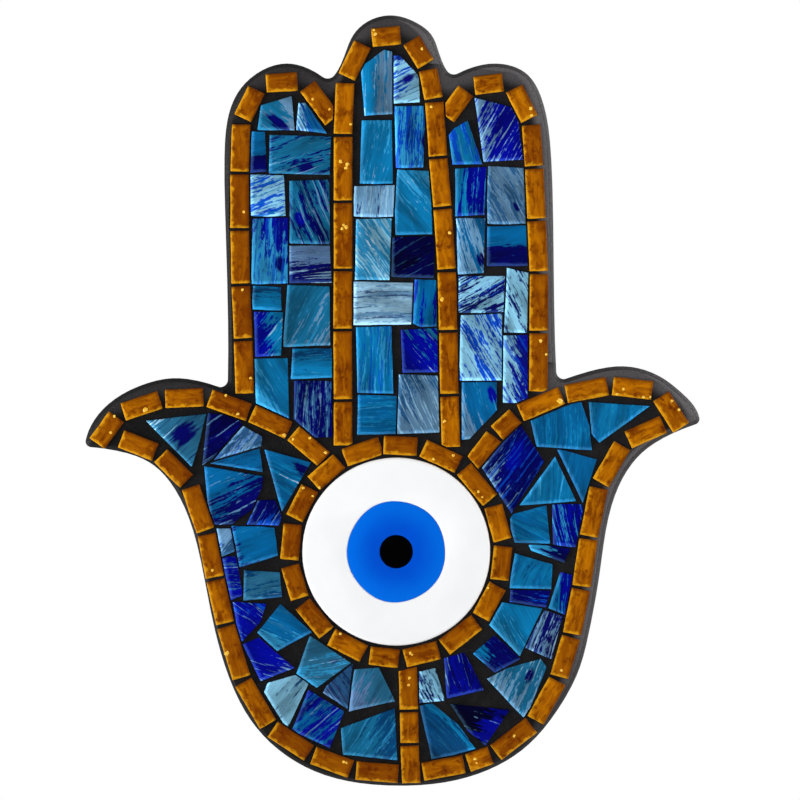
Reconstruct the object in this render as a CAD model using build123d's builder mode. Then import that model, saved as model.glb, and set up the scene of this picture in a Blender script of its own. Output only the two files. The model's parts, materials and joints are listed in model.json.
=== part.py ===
"""Hamsa wall hanging: a hand-shaped board set with glass mosaic round an eye, and a ring hanger behind."""

import math
import os

from build123d import *

# The back of the board is y = 0 and its front faces -Y. The origin is on the back, at the hanger's pivot.
# The hand is drawn as seen from the front: x from its axis, then height above its foot.
HANGER_HEIGHT = 157.0

# Hand, cut from board
BOARD_THICKNESS = 9.0
BACK_EDGE_BEVEL = 0.8
MIDDLE_TIP = 200.0
LEFT_TIP = 187.5
RIGHT_TIP = 187.5
LEFT_SIDE = 43.5
RIGHT_SIDE = 41.8
LEFT_REACH = 79.8
RIGHT_REACH = 80.0
LEFT_THUMB_HEIGHT = 88.0
RIGHT_THUMB_HEIGHT = 95.4
THUMB_TIP_RADIUS = 1.5
CROOK_RADIUS = 2.0
NOTCH_RADIUS = 2.2

# Mosaic
TILE_THICKNESS = 2.4
TILE_CHAMFER = 0.18
STRIP_WIDTH = 4.8
GOLD_JOINT = 0.7
RING_JOINT = 0.6
BLUE_JOINT = 1.1
BLUE_OVERCUT = 0.3
LEAST_JOINT = 0.4
SHORTEST_SIDE = 1.0
HAND_CUT = 0.25
GROUT_DEPTH = 1.9
GROUT_BEVEL = 1.0

# Eye
EYE_X = 1.1
EYE_HEIGHT = 60.8
EYE_RADIUS = 24.4
EYE_THICKNESS = 2.6
EYE_BEVEL = 0.5
IRIS_RADIUS = 12.9
IRIS_WOBBLE = 0.2
IRIS_POINTS = 24
PUPIL_RADIUS = 4.3
INLAY_DEPTH = 0.8

# Hanger
WIRE = 1.6
RING_WIDTH = 15.0
RING_DROP = 11.0
RING_CORNER = 2.0
RING_REST_GAP = 0.1
STRIP_METAL = 0.5
BARREL_CLEARANCE = 0.05
STRAP_WIDTH = 9.0
STRAP_TAIL = 5.5
STRAP_END_FLAT = 0.3
SCREW_DIAMETER = 2.6
SCREW_HOLE_CLEARANCE = 0.2
PILOT_CLEARANCE = 0.05
SCREW_BITE = 6.5
PILOT_SPARE = 0.5
SCREW_POINT = 2.0
SCREW_HEAD = 5.6
SCREW_HEAD_HEIGHT = 1.8
SCREW_HEAD_EDGE = 0.5
CROSS_SLOT = 0.8
CROSS_SPAN = 3.0
CROSS_DEPTH = 1.0

BACK = Plane(origin=(0, 0, -HANGER_HEIGHT), x_dir=(1, 0, 0), z_dir=(0, -1, 0))
FRONT = BACK.offset(BOARD_THICKNESS)

os.makedirs("parts", exist_ok=True)


def keep(builder, name):
    """Label a finished piece and write it out."""
    builder.part.label = name
    export_step(builder.part, f"parts/{name}.step")


# Outline of the hand: a bowl under both thumbs, a back to each thumb, and three fingers
def left_thumb(share):
    """Place along the way from the hand's left side out to the tip of its left thumb."""
    return -LEFT_SIDE - share * (LEFT_REACH - LEFT_SIDE)


def right_thumb(share):
    """Place along the way from the hand's right side out to the tip of its right thumb."""
    return RIGHT_SIDE + share * (RIGHT_REACH - RIGHT_SIDE)


LEFT_THUMB = (-LEFT_REACH, LEFT_THUMB_HEIGHT)
RIGHT_THUMB = (RIGHT_REACH, RIGHT_THUMB_HEIGHT - 1.2)
LEFT_CROOK = (-LEFT_SIDE + 0.8, 102.6)
RIGHT_CROOK = (RIGHT_SIDE + 1.0, 104.8)
LEFT_NOTCH = (-16.6, LEFT_TIP - 4.6)
RIGHT_NOTCH = (15.6, RIGHT_TIP - 3.4)

with BuildSketch() as hand:
    with BuildLine():
        Spline(
            LEFT_THUMB, (left_thumb(0.752), 86.8), (left_thumb(0.523), 83.6), (left_thumb(0.317), 74.6),
            (-50, 60), (-47, 45), (-43, 30), (-35, 14.8), (-20, 3.7), (0, 0), (20, 2.3), (34.7, 10),
            (43.2, 20), (48.5, 30), (51.2, 40), (53.9, 55), (56.3, 70), (right_thumb(0.476), 80),
            (right_thumb(0.607), 86.5), (right_thumb(0.738), 90), RIGHT_THUMB,
        )
        Spline(
            RIGHT_THUMB, (right_thumb(0.982), 97), (right_thumb(0.869), 102.2), (right_thumb(0.738), 106),
            (right_thumb(0.476), 108.9), (right_thumb(0.28), 107.9), RIGHT_CROOK,
        )
        Spline(
            RIGHT_CROOK, (RIGHT_SIDE + 0.4, 120), (RIGHT_SIDE, 150), (RIGHT_SIDE - 0.6, RIGHT_TIP - 22.5),
            (RIGHT_SIDE - 2.8, RIGHT_TIP - 9.5), (35, RIGHT_TIP - 2.7), (26.5, RIGHT_TIP),
            (20, RIGHT_TIP - 1.3), RIGHT_NOTCH,
        )
        Spline(
            RIGHT_NOTCH, (12.3, MIDDLE_TIP - 10), (10.2, MIDDLE_TIP - 5), (6.5, MIDDLE_TIP - 2),
            (0, MIDDLE_TIP), (-7, MIDDLE_TIP - 2), (-10, MIDDLE_TIP - 5), (-12.2, MIDDLE_TIP - 10),
            LEFT_NOTCH,
        )
        Spline(
            LEFT_NOTCH, (-19.8, LEFT_TIP - 2.3), (-27, LEFT_TIP), (-35, LEFT_TIP - 2.5),
            (-40, LEFT_TIP - 7.5), (-LEFT_SIDE, LEFT_TIP - 24), (-LEFT_SIDE + 0.2, 148),
            (-LEFT_SIDE + 0.9, 122), LEFT_CROOK,
        )
        Spline(
            LEFT_CROOK, (left_thumb(0.179), 105), (left_thumb(0.372), 105.8), (left_thumb(0.592), 104),
            (left_thumb(0.799), 100), (left_thumb(0.939), 94.5), LEFT_THUMB,
        )
    make_face()
    for corner, radius in (
        (LEFT_THUMB, THUMB_TIP_RADIUS), (RIGHT_THUMB, THUMB_TIP_RADIUS), (LEFT_CROOK, CROOK_RADIUS),
        (RIGHT_CROOK, CROOK_RADIUS), (LEFT_NOTCH, NOTCH_RADIUS), (RIGHT_NOTCH, NOTCH_RADIUS),
    ):
        fillet(hand.vertices().sort_by_distance(corner)[0], radius)


# Gold strip: each run is the line of its joints, and a tile fills each stretch between two of them
RING_CUTS = (20.5, 24.5, 25.5, 22.5, 21.5, 22.5, 25.5, 22, 19, 23, 23.5, 21.5, 22.5, 21.5, 21.5, 23)
RING_START = 97.5
RING_CENTRE_LINE = EYE_RADIUS + RING_JOINT + STRIP_WIDTH / 2
RING_OUTSIDE = EYE_RADIUS + RING_JOINT + STRIP_WIDTH


def round_eye(angle, radius):
    """Point at an angle round the eye and a radius from its centre."""
    return (
        EYE_X + radius * math.cos(math.radians(angle)),
        EYE_HEIGHT + radius * math.sin(math.radians(angle)),
    )


def ring_joints():
    """Joints of the ring, on the radius at which the middles of the tiles keep off the eye."""
    radius = RING_CENTRE_LINE / math.cos(math.pi / len(RING_CUTS))
    turned = [RING_START - sum(RING_CUTS[:k]) for k in range(len(RING_CUTS) + 1)]
    return [round_eye(angle, radius) for angle in turned]


LEFT_FINGER_JOINTS = (
    (-38.2, 101.5), (-38.6, 115.8), (-39.2, 130), (-39.5, 144.4), (-39.5, 159), (-39.1, LEFT_TIP - 15),
    (-34.4, LEFT_TIP - 5.3), (-22.9, LEFT_TIP - 4.6), (-15.2, LEFT_TIP - 15),
)
MIDDLE_FINGER_JOINTS = (
    (-12.7, 88), (-12.7, 100), (-12.8, 118.3), (-12.7, 133.9), (-12.7, 151.6), (-12.7, 168.8),
    (-12.1, MIDDLE_TIP - 16.8), (-6.9, MIDDLE_TIP - 6), (4, MIDDLE_TIP - 5), (9.2, MIDDLE_TIP - 13.4),
    (10.9, 177.9), (12, 163.1), (13.1, 150), (14.2, 133.7), (14.6, 118), (14.9, 101.4), (15.3, 87.6),
)
MIDDLE_TIP_TILES = slice(6, 9)
RIGHT_FINGER_JOINTS = (
    (38, 102), (38.1, 117.8), (38.1, 133.2), (37.5, 146.9), (36.9, 160.5), (36, RIGHT_TIP - 15.2),
    (30.8, RIGHT_TIP - 4.7), (20, RIGHT_TIP - 6), (14, RIGHT_TIP - 14.2),
)
LEFT_THUMB_JOINTS = (
    (-17.4, 84.5), (-26.1, 92), (-36.7, 96.8), (left_thumb(0.127), 100.9), (left_thumb(0.441), 100.4),
    (left_thumb(0.752), LEFT_THUMB_HEIGHT + 8.7), (left_thumb(0.915), LEFT_THUMB_HEIGHT + 0.6),
)
RIGHT_THUMB_JOINTS = (
    (20.7, 83), (26.8, 91.2), (32.6, 96.5), (right_thumb(0.073), 101.6), (right_thumb(0.387), 103.9),
    (right_thumb(0.712), RIGHT_THUMB_HEIGHT + 7), (right_thumb(0.874), RIGHT_THUMB_HEIGHT - 2.8),
)
LEFT_PALM_JOINTS = (
    (left_thumb(0.747), LEFT_THUMB_HEIGHT + 2.2), (left_thumb(0.471), 86.3), (left_thumb(0.251), 78.4),
    (-48.2, 65.8), (-45.9, 53.8), (-43.2, 41.8), (-38.9, 27.5), (-31.7, 15.2), (-21, 8.2), (-10, 4.1),
    (2, 3.1),
)
RIGHT_PALM_JOINTS = (
    (right_thumb(0.757), RIGHT_THUMB_HEIGHT - 1.4), (right_thumb(0.484), 89.3), (right_thumb(0.314), 78),
    (51, 64.4), (49.1, 51.4), (46.6, 39), (43.2, 27.8), (36.8, 16.3), (26.3, 8.2), (19.2, 5.8), (7.6, 3.6),
)
STEM_JOINTS = ((4.1, 31.6), (4.4, 19.5), (4.6, 10.8), (5, 0.4))


def lay_strip(joints):
    """Cut a strip into square-ended tiles, set back at each bend so that the inner corners keep a joint."""
    points = [Vector(*joint) for joint in joints]
    runs = [(after - before).normalized() for before, after in zip(points, points[1:])]
    bends = [0] + [math.radians(a.get_angle(b)) for a, b in zip(runs, runs[1:])] + [0]
    setbacks = [GOLD_JOINT / 2 + STRIP_WIDTH / 2 * math.tan(bend / 2) for bend in bends]
    tiles = []
    for k, run in enumerate(runs):
        start = points[k] + run * setbacks[k]
        end = points[k + 1] - run * setbacks[k + 1]
        side = Vector(-run.Y, run.X) * (STRIP_WIDTH / 2)
        tiles.append([(p.X, p.Y) for p in (start - side, end - side, end + side, start + side)])
    return tiles


# Blue glass in the fingers: two columns each, as (glass, height of its top, left edge, right edge)
LEFT_FINGER_OUTER = (
    96, ("turquoise", 111, -35.3, -27.2), ("cobalt", 122.8, -35.4, -28.8), ("turquoise", 129.6, -36, -29),
    ("two_tone", 147.2, -36, -27.3), ("ice", 158.6, -36.5, -28.1), ("two_tone", 169.6, -36.7, -33),
)
LEFT_FINGER_INNER = (
    91, ("midnight", 105.2, -25.2, -15.6), ("teal", 113.6, -25.7, -15.4), ("teal", 129.8, -28, -16.4),
    ("mist", 140, -26.5, -16.2), ("midnight", 157.2, -27, -16.5), ("teal", 168.6, -31.6, -16.3),
)
MIDDLE_FINGER_LEFT = (
    90.8, ("turquoise", 101.2, -8.6, 0.8), ("cobalt", 119.2, -8.8, -0.2), ("mist", 130.6, -10, 4.9),
    ("ice", 147, -9.2, -0.7), ("mist", 155.6, -9.6, 0.2), ("turquoise", 172.8, -7.8, -0.2),
)
MIDDLE_FINGER_RIGHT = (
    92, ("mist", 106.6, 1.2, 11.8), ("cobalt", 118.6, 2.8, 11.6), ("cobalt", 131.2, 5.7, 11.4),
    ("midnight", 142.6, 0, 10.6), ("turquoise", 159.7, 1, 9.9), ("cobalt", 176.2, 1.1, 8.1),
)
RIGHT_FINGER_INNER = (
    105.6, ("ice", 122.3, 17.9, 28.2), ("ice", 132.4, 17.6, 28.8), ("mist", 147.4, 17.2, 23.7),
    ("cobalt", 160.3, 16.7, 24),
)
RIGHT_FINGER_OUTER = (
    99.8, ("ice", 117, 29, 35.2), ("ice", 134.2, 29.3, 34.9), ("two_tone", 145.2, 25, 35.2),
    ("mist", 161, 24.9, 34.1),
)

# Blue glass cut to a shape of its own, as (glass, corners): at the fingertips and by the right thumb
LEFT_FINGER_TIP = (
    ("two_tone", (-34.6, 170.4), (-25.6, 170.4), (-26.3, LEFT_TIP - 8.9), (-34, LEFT_TIP - 11.2)),
    ("ice", (-24.6, 170), (-17.5, 169.6), (-22.6, LEFT_TIP - 10.6), (-24, LEFT_TIP - 10.6)),
)
MIDDLE_FINGER_TIP = (
    (
        "turquoise", (-6.9, 174.2), (-0.2, 174.6), (-0.3, MIDDLE_TIP - 9.7), (-2, MIDDLE_TIP - 9.3),
        (-7.8, MIDDLE_TIP - 13.7),
    ),
    (
        "ice", (0.8, 177.3), (6.9, 177.7), (6.7, MIDDLE_TIP - 16), (1.9, MIDDLE_TIP - 10.8),
        (0.6, MIDDLE_TIP - 10.8),
    ),
)
RIGHT_FINGER_TIP = (
    (
        "two_tone", (16, 161.5), (23, 161.6), (19.5, RIGHT_TIP - 15.3), (16.3, RIGHT_TIP - 17.1),
        (15, RIGHT_TIP - 18.7),
    ),
    (
        "cobalt", (24, 162.2), (33.7, 162.8), (32.2, RIGHT_TIP - 13), (30.8, RIGHT_TIP - 11.6),
        (21.8, RIGHT_TIP - 9.3),
    ),
    ("turquoise", (18.4, 90.1), (20, 90.3), (26.9, 97.6), (26.9, 105.6), (18.4, 105.4)),
)

# Blue glass in the palm and the thumbs, as (glass, corners), each corner by its angle round the eye and
# its distance out from the gold ring
LEFT_PALM = (
    ("turquoise", (159.5, 1.8), (142.3, 12.9), (140, 9), (134.5, 2.4)),
    ("midnight", (169.2, 9.2), (160, 8.2), (157.5, 4.5), (162, 1.6), (167, 1.7)),
    ("two_tone", (185.3, 10.8), (170.5, 13.3), (169.5, 2.6), (181.5, 1.2)),
    ("mist", (197.5, 11.5), (187.5, 9.7), (190.5, 1.2), (201, 2.3)),
    ("turquoise", (219.5, 10.2), (210.5, 11.6), (205, 3.3), (223, 0.8)),
    ("turquoise", (239.5, 10.8), (231, 10.8), (225, 1.7), (247, 1.6)),
    ("mist", (252.3, 12.5), (243, 11.2), (243, 9.5), (248.5, 2)),
    ("mist", (253.5, 13.1), (251, 2.8), (261, 0.8), (269, 8.8)),
    ("two_tone", (157, 28), (152.3, 42.8), (144.5, 31.2), (152, 28.6)),
    ("midnight", (155.3, 25.2), (143.8, 30.6), (139.8, 24.2), (140.7, 22.3), (152.5, 23.7)),
    ("ice", (153, 23.2), (141, 22), (139.8, 16.2), (142, 15)),
    ("turquoise", (154, 22.7), (143, 15), (149, 11)),
    ("two_tone", (171.8, 18.7), (156.2, 24.5), (151, 10), (160.5, 8), (170.5, 13.8)),
    ("ice", (181.5, 15.8), (173, 17), (171.5, 14.2), (179, 11.5)),
    ("cobalt", (196, 15), (182, 15.3), (182, 11.3), (195.5, 11.6)),
    ("cobalt", (210, 16.8), (197.5, 14.3), (202, 7), (207, 10)),
    ("cobalt", (223.5, 18.5), (211.5, 16.5), (212.5, 12), (228.5, 10.2)),
    ("ice", (238, 23.8), (227, 20), (226, 17.8), (231.5, 11.3), (236, 11.3)),
    ("two_tone", (251, 23.7), (240, 23.6), (238, 13), (251.5, 14)),
    ("turquoise", (255.5, 24.4), (253, 18.3), (269, 11.3), (270, 24)),
)
RIGHT_PALM = (
    ("midnight", (45.5, 16), (31.5, 14.8), (19, 1.7), (46, 1.7)),
    ("turquoise", (17.3, 1.4), (16.8, 10.6), (3.4, 9.9), (5, 0.6)),
    ("cobalt", (3.6, 4.8), (0.6, 15), (-3.3, 13.7), (0.8, 5.4)),
    ("turquoise", (-1.5, 1.2), (-5, 10.6), (-13.3, 11.2), (-17.3, 1.1)),
    ("midnight", (-14.2, 11.2), (-20.2, 11.3), (-23.2, 2.6), (-19, 1.5)),
    ("turquoise", (-25.5, 0.9), (-21.5, 10.6), (-39.8, 11.8), (-37.8, 1.2)),
    ("cobalt", (-41, 3.9), (-40.3, 12.7), (-50.5, 10.5), (-52.5, 3.6)),
    ("cobalt", (-56.5, 2), (-58, 12.3), (-70.5, 10.3), (-65.5, 0.8)),
    ("ice", (-72, 2.3), (-72.3, 10.5), (-81, 9.7), (-79, 2.2)),
    ("turquoise", (37.5, 33.5), (30, 45.2), (28.5, 30.2), (31, 29.7)),
    ("turquoise", (43.8, 19), (39.2, 31.7), (27.1, 28.5), (36.3, 15.8)),
    ("turquoise", (32, 19.9), (24.5, 27.3), (15, 20.4)),
    ("turquoise", (30.4, 17.9), (15.4, 18.4), (20, 4.5)),
    ("cobalt", (16.6, 12.7), (13.8, 20.3), (1.8, 16.9), (2, 11.2)),
    ("cobalt", (-7.8, 16), (-20.2, 16.7), (-20, 12.6), (-7.5, 13.3)),
    ("ice", (-21.5, 16.3), (-34.5, 18.8), (-36.3, 12), (-22, 11.8)),
    ("mist", (-37.8, 19.2), (-52.2, 24.6), (-54.3, 10), (-50, 11), (-37, 17)),
    ("midnight", (-55, 20.6), (-65, 25.6), (-68, 20), (-70, 12.6)),
    ("turquoise", (-68.5, 25), (-80, 25), (-81.2, 11), (-77, 10.8), (-70.5, 18)),
)


def column(rows):
    """Tiles of a column from its foot up, each corner a little off square as hand nippers leave it."""
    foot, *cuts = rows
    tiles = []
    for k, (glass, top, left, right) in enumerate(cuts):
        square = ((left, foot), (right, foot), (right, top), (left, top))
        tiles.append((glass, [
            (x + HAND_CUT * math.sin(5 * k + 3 * i + x), y + HAND_CUT * (math.cos(4 * k + 2 * i + y) - 1))
            for i, (x, y) in enumerate(square)
        ]))
        foot = top + BLUE_JOINT
    return tiles


def freehand(rows):
    """Tiles cut to a shape of their own in the fingers."""
    return [(glass, corners) for glass, *corners in rows]


def round_palm(rows):
    """Tiles of the palm, set out round the eye."""
    return [
        (glass, [round_eye(angle, RING_OUTSIDE + out) for angle, out in corners]) for glass, *corners in rows
    ]


# Fitting: the mosaic is laid gold first, and each tile is nipped back to clear those already laid
def area(corners):
    """Area of an outline, positive when it runs anticlockwise."""
    return sum(a[0] * b[1] - b[0] * a[1] for a, b in zip(corners, corners[1:] + corners[:1])) / 2


def sides(corners):
    """Each side of an outline as a point on it and its outward direction."""
    for a, b in zip(corners, corners[1:] + corners[:1]):
        length = math.dist(a, b)
        yield a, ((b[1] - a[1]) / length, (a[0] - b[0]) / length)


def along(point, direction):
    return point[0] * direction[0] + point[1] * direction[1]


def crossing(first, second):
    """Where two sides meet, each given by its outward direction and its distance along that."""
    (a, b), (c, d) = first[0], second[0]
    spread = a * d - b * c
    return (first[1] * d - second[1] * b) / spread, (second[1] * a - first[1] * c) / spread


def let_out(corners, margin):
    """An outline with every side moved out by the same margin."""
    lines = [(way, along(point, way) + margin) for point, way in sides(corners)]
    return [crossing(before, after) for before, after in zip(lines[-1:] + lines, lines)]


def cut(corners, direction, limit):
    """What one straight cut leaves of an outline beyond a limit in some direction."""
    kept = []
    for a, b in zip(corners, corners[1:] + corners[:1]):
        before, after = along(a, direction) - limit, along(b, direction) - limit
        if before >= 0:
            kept.append(a)
        if before * after < 0:
            share = before / (before - after)
            kept.append((a[0] + share * (b[0] - a[0]), a[1] + share * (b[1] - a[1])))
    return kept


def nip(tile, other):
    """Cut a tile back by the least straight cut that clears another tile by a joint."""
    left_over = [cut(tile, way, along(point, way) + LEAST_JOINT) for point, way in sides(other)]
    for _, way in sides(tile):
        inward = (-way[0], -way[1])
        left_over.append(cut(tile, inward, max(along(corner, inward) for corner in other) + LEAST_JOINT))
    return max(left_over, key=area)


def near(tile, other):
    """Whether the boxes round two outlines come within a joint."""
    return all(
        min(p[axis] for p in tile) < max(p[axis] for p in other) + LEAST_JOINT
        and min(p[axis] for p in other) < max(p[axis] for p in tile) + LEAST_JOINT
        for axis in (0, 1)
    )


laid = []


def lay(corners, overcut=0.0):
    """Fit a tile among those already laid, without sides too short to cut, and add it to them."""
    tile = list(corners) if area(list(corners)) > 0 else list(corners)[::-1]
    tile = let_out(tile, overcut)
    for other in laid:
        if near(tile, other):
            tile = nip(tile, other)
    tile = [p for k, p in enumerate(tile) if math.dist(p, tile[k - 1]) > SHORTEST_SIDE]
    laid.append(tile)
    return tile


middle_strip = lay_strip(MIDDLE_FINGER_JOINTS)
pieces = {
    "gold_eye_ring": lay_strip(ring_joints()),
    "gold_stem": lay_strip(STEM_JOINTS),
    "gold_left_palm": lay_strip(LEFT_PALM_JOINTS),
    "gold_right_palm": lay_strip(RIGHT_PALM_JOINTS),
    "gold_left_thumb": lay_strip(LEFT_THUMB_JOINTS),
    "gold_right_thumb": lay_strip(RIGHT_THUMB_JOINTS),
    "gold_left_divider": middle_strip[:MIDDLE_TIP_TILES.start],
    "gold_middle_tip": middle_strip[MIDDLE_TIP_TILES],
    "gold_right_divider": middle_strip[MIDDLE_TIP_TILES.stop:],
    "gold_left_finger": lay_strip(LEFT_FINGER_JOINTS),
    "gold_right_finger": lay_strip(RIGHT_FINGER_JOINTS),
}
pieces = {name: [lay(tile) for tile in tiles] for name, tiles in pieces.items()}
fields = {
    "left_finger": column(LEFT_FINGER_OUTER) + column(LEFT_FINGER_INNER) + freehand(LEFT_FINGER_TIP),
    "middle_finger": column(MIDDLE_FINGER_LEFT) + column(MIDDLE_FINGER_RIGHT) + freehand(MIDDLE_FINGER_TIP),
    "right_finger": column(RIGHT_FINGER_INNER) + column(RIGHT_FINGER_OUTER) + freehand(RIGHT_FINGER_TIP),
    "left_palm": round_palm(LEFT_PALM),
    "right_palm": round_palm(RIGHT_PALM),
}
for field, tiles in fields.items():
    for glass, corners in tiles:
        pieces.setdefault(f"{glass}_{field}", []).append(lay(corners, BLUE_OVERCUT))


for name, tiles in pieces.items():
    with BuildPart() as glass_tiles:
        with BuildSketch(FRONT):
            for corners in tiles:
                Polygon(*corners, align=None)
        extrude(amount=TILE_THICKNESS)
        chamfer(glass_tiles.faces().group_by(Axis.Y)[0].edges(), TILE_CHAMFER)
    keep(glass_tiles, name)


# Eye: a white disc with the iris and the pupil let into its face
EYE = Plane(origin=(EYE_X, -BOARD_THICKNESS, EYE_HEIGHT - HANGER_HEIGHT), x_dir=(1, 0, 0), z_dir=(0, -1, 0))
EYE_INLAY = EYE.offset(EYE_THICKNESS - INLAY_DEPTH)


def iris_point(k):
    """Point on the iris's poured edge, a little taller than wide and not quite even."""
    angle = math.tau * k / IRIS_POINTS
    radius = IRIS_RADIUS - IRIS_WOBBLE * (math.cos(2 * angle) + 0.5 * math.sin(5 * angle + 1))
    return radius * math.cos(angle), radius * math.sin(angle)


with BuildSketch() as iris_outline:
    with BuildLine():
        for k in range(0, IRIS_POINTS, 2):
            ThreePointArc(iris_point(k), iris_point(k + 1), iris_point(k + 2))
    make_face()

with BuildPart() as eye_white:
    with BuildSketch(EYE):
        Circle(EYE_RADIUS)
    extrude(amount=EYE_THICKNESS)
    chamfer(eye_white.faces().sort_by(Axis.Y)[0].edges(), EYE_BEVEL)
    with BuildSketch(EYE_INLAY):
        add(iris_outline.sketch)
    extrude(amount=INLAY_DEPTH, mode=Mode.SUBTRACT)
keep(eye_white, "eye_white")

with BuildPart() as eye_iris:
    with BuildSketch(EYE_INLAY):
        add(iris_outline.sketch)
        Circle(PUPIL_RADIUS, mode=Mode.SUBTRACT)
    extrude(amount=INLAY_DEPTH)
keep(eye_iris, "eye_iris")

with BuildPart() as eye_pupil:
    with BuildSketch(EYE_INLAY):
        Circle(PUPIL_RADIUS)
    extrude(amount=INLAY_DEPTH)
keep(eye_pupil, "eye_pupil")


# Board, with a blind pilot hole for the hanger's screw, which stands under the bow of the hanging ring
SCREW_PLACE = Plane(origin=(0, 0, -RING_DROP), x_dir=(1, 0, 0), z_dir=(0, -1, 0))

with BuildPart() as board:
    with BuildSketch(BACK):
        add(hand.sketch)
    extrude(amount=BOARD_THICKNESS)
    chamfer(board.faces().sort_by(Axis.Y)[-1].edges(), BACK_EDGE_BEVEL)
    with BuildSketch(SCREW_PLACE):
        Circle(SCREW_DIAMETER / 2 + PILOT_CLEARANCE)
    extrude(amount=SCREW_BITE + PILOT_SPARE, mode=Mode.SUBTRACT)
keep(board, "backing_board")


# Grout, poured round the tiles and the eye and wiped off below their faces
with BuildPart() as grout:
    with BuildSketch(FRONT):
        add(hand.sketch)
    extrude(amount=GROUT_DEPTH)
    chamfer(grout.faces().sort_by(Axis.Y)[0].edges(), GROUT_BEVEL)
    with BuildSketch(FRONT):
        for corners in laid:
            Polygon(*corners, align=None)
        with Locations((EYE_X, EYE_HEIGHT)):
            Circle(EYE_RADIUS)
    extrude(amount=TILE_THICKNESS, mode=Mode.SUBTRACT)
keep(grout, "grout")


# Hanger: a metal strip folded round the ring's bar and screwed to the back
BARREL_BORE = WIRE / 2 + BARREL_CLEARANCE
BARREL_RADIUS = BARREL_BORE + STRIP_METAL
STRAP_THICKNESS = 2 * STRIP_METAL
STRAP_LENGTH = RING_DROP + STRAP_TAIL

with BuildPart() as strap:
    with BuildSketch(Plane.YZ):
        Rectangle(STRAP_THICKNESS, STRAP_LENGTH, align=(Align.MIN, Align.MAX))
        with Locations((BARREL_RADIUS, 0)):
            Circle(BARREL_RADIUS)
            Circle(BARREL_BORE, mode=Mode.SUBTRACT)
    extrude(amount=STRAP_WIDTH / 2, both=True)
    fillet(strap.edges().filter_by(Axis.Y).group_by(Axis.Z)[0], STRAP_WIDTH / 2 - STRAP_END_FLAT)
    with BuildSketch(SCREW_PLACE):
        Circle(SCREW_DIAMETER / 2 + SCREW_HOLE_CLEARANCE)
    extrude(amount=-STRAP_THICKNESS, mode=Mode.SUBTRACT)
keep(strap, "hanger_strap")

# At rest the ring's bow lies on the screw's head
REST_HEIGHT = STRAP_THICKNESS + SCREW_HEAD_HEIGHT + RING_REST_GAP + WIRE / 2
REST_TILT = math.asin((REST_HEIGHT - BARREL_RADIUS) / RING_DROP)
RING_PLANE = Plane(
    origin=(0, BARREL_RADIUS, 0), x_dir=(1, 0, 0), z_dir=(0, math.cos(REST_TILT), math.sin(REST_TILT))
)
HALF_WIDTH = RING_WIDTH / 2
BOW_START = RING_DROP - HALF_WIDTH

with BuildPart() as ring:
    with BuildLine(RING_PLANE) as ring_line:
        Line((-HALF_WIDTH + RING_CORNER, 0), (HALF_WIDTH - RING_CORNER, 0))
        RadiusArc((HALF_WIDTH - RING_CORNER, 0), (HALF_WIDTH, RING_CORNER), -RING_CORNER)
        Line((HALF_WIDTH, RING_CORNER), (HALF_WIDTH, BOW_START))
        ThreePointArc((HALF_WIDTH, BOW_START), (0, RING_DROP), (-HALF_WIDTH, BOW_START))
        Line((-HALF_WIDTH, BOW_START), (-HALF_WIDTH, RING_CORNER))
        RadiusArc((-HALF_WIDTH, RING_CORNER), (-HALF_WIDTH + RING_CORNER, 0), -RING_CORNER)
    with BuildSketch(Plane(origin=ring_line.line @ 0, z_dir=ring_line.line % 0)):
        Circle(WIRE / 2)
    sweep()
keep(ring, "hanger_ring")

HEAD_FACE = SCREW_PLACE.offset(-STRAP_THICKNESS - SCREW_HEAD_HEIGHT)
with BuildPart() as screw:
    with BuildSketch(Plane(origin=SCREW_PLACE.origin, x_dir=(1, 0, 0), z_dir=(0, 0, 1))):
        with BuildLine():
            Polyline(
                (0, STRAP_THICKNESS + SCREW_HEAD_HEIGHT), (0, -SCREW_BITE),
                (SCREW_DIAMETER / 2, -SCREW_BITE + SCREW_POINT), (SCREW_DIAMETER / 2, STRAP_THICKNESS),
                (SCREW_HEAD / 2, STRAP_THICKNESS),
                (SCREW_HEAD / 2, STRAP_THICKNESS + SCREW_HEAD_EDGE),
            )
            TangentArc(
                (0, STRAP_THICKNESS + SCREW_HEAD_HEIGHT), (SCREW_HEAD / 2, STRAP_THICKNESS + SCREW_HEAD_EDGE),
                tangent=(1, 0),
            )
        make_face()
    revolve(axis=Axis(SCREW_PLACE.origin, (0, 1, 0)))
    with BuildSketch(HEAD_FACE):
        Rectangle(CROSS_SPAN, CROSS_SLOT)
        Rectangle(CROSS_SLOT, CROSS_SPAN)
    extrude(amount=CROSS_DEPTH, mode=Mode.SUBTRACT)
keep(screw, "hanger_screw")
print("tiles", len(laid), "pieces", len(pieces))
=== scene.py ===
"""Dress the hamsa hand: streaky blue glass, amber strip, dark grout, a glazed eye and a plated hanger."""
import json
import math
import random
import statistics

import bpy
from mathutils import Matrix, Vector, noise


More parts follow.
